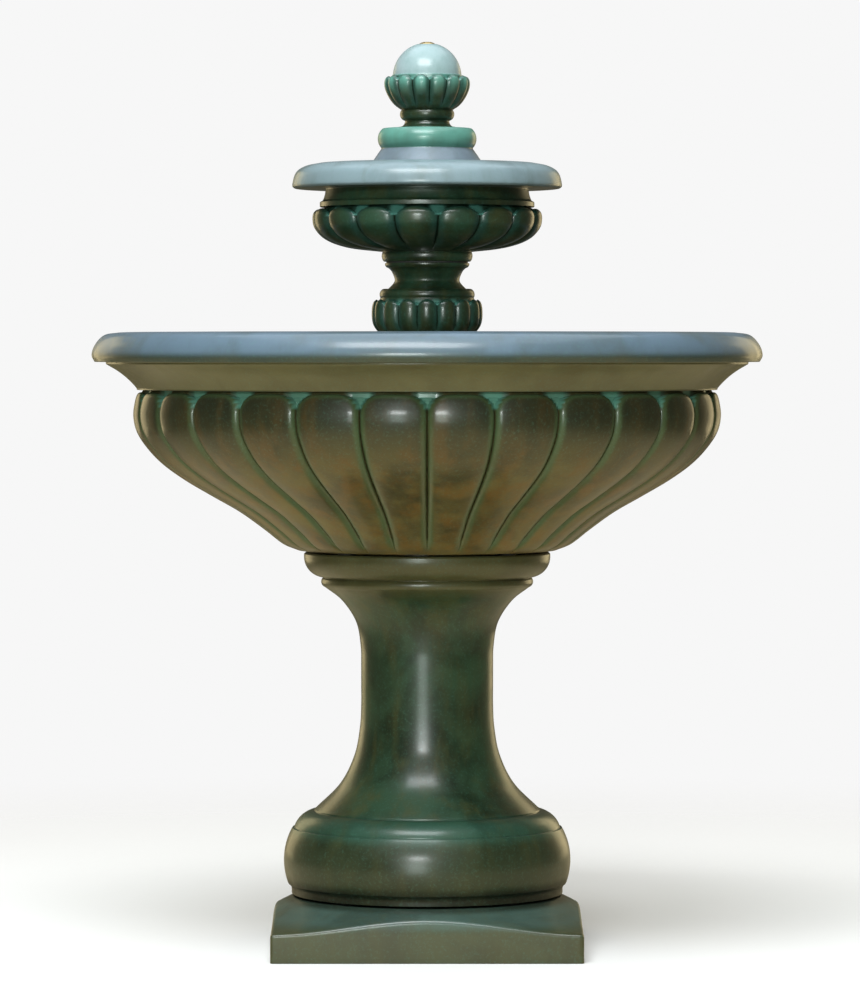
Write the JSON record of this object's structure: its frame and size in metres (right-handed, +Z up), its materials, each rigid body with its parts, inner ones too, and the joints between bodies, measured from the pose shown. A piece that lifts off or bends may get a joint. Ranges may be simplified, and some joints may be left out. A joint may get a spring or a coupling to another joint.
{
  "type": "garden fountain",
  "caption": "Two-tier garden fountain: square plinth, turned pedestal, wide lobed basin, lobed riser, upper bowl and ball finial, with pump and pipework inside.",
  "frame": {"origin": "centre of the plinth's underside, on the ground and on the axis that all the castings share", "axes": "+Z up the fountain's axis; -Y is the front, with the cord notch at the back (+Y); +X to the right"},
  "size_m": [0.9369, 0.937, 1.2653],
  "materials": {
    "cast_green": "green-bronze patina under a gloss sealer",
    "cast_bronze": "brown-bronze patina with green in the grooves, under a gloss sealer",
    "rubber": "matt",
    "pump_plastic": "fine texture",
    "dial_plastic": "satin",
    "impeller_plastic": "satin",
    "ferrite": "ground",
    "ceramic_pin": "polished",
    "vinyl": "clear and flexible",
    "steel": "stainless",
    "brass": "machined",
    "copper": "drawn copper tube, slightly dulled"
  },
  "bodies": {
    "base": {"plinth": "cast_green", "pedestal_pads": "rubber", "pedestal": "cast_green", "basin_pads": "rubber", "lower_basin": "cast_bronze", "pump_house": "cast_green", "pump_body": "pump_plastic", "pump_casing": "pump_plastic", "casing_seal": "rubber", "strainer_cover": "pump_plastic", "rotor_shaft": "ceramic_pin", "shaft_bushes": "rubber", "suction_feet": "rubber", "cord_gland": "pump_plastic", "outlet_barb": "pump_plastic", "supply_hose": "vinyl", "hose_clamp": "steel", "clamp_screw": "steel"},
    "upper_tier": {"riser": "cast_green", "riser_gasket": "rubber", "upper_bowl": "cast_green", "bulkhead_fitting": "brass", "bulkhead_washers": "rubber", "bulkhead_nut": "brass", "riser_pipe": "copper"},
    "finial_top": {"finial_base": "cast_green", "finial": "cast_green", "finial_pipe": "copper", "pipe_o_rings": "rubber", "jet_nozzle": "brass", "nozzle_washer": "rubber"},
    "stopper": {"drain_stopper": "rubber"},
    "rotor": {"rotor_magnet": "ferrite", "impeller": "impeller_plastic"},
    "dial": {"flow_dial": "dial_plastic"}
  },
  "joints": [
    {"name": "upper_tier_lift", "type": "slide", "parent": "base", "child": "upper_tier", "axis": [0, 0, 1], "range_m": [0, 0.15]},
    {"name": "finial_lift", "type": "slide", "parent": "upper_tier", "child": "finial_top", "axis": [0, 0, 1], "range_m": [0, 0.12]},
    {"name": "stopper_pull", "type": "slide", "parent": "base", "child": "stopper", "axis": [0, 0, 1], "range_m": [0, 0.06]},
    {"name": "rotor_spin", "type": "hinge", "parent": "base", "child": "rotor", "pos_m": [0, 0.03, 0.629], "axis": [0, 1, 0], "continuous": true},
    {"name": "flow_dial_turn", "type": "hinge", "parent": "base", "child": "dial", "pos_m": [0, -0.046, 0.629], "axis": [0, 1, 0], "range_deg": [0, 90]}
  ]
}
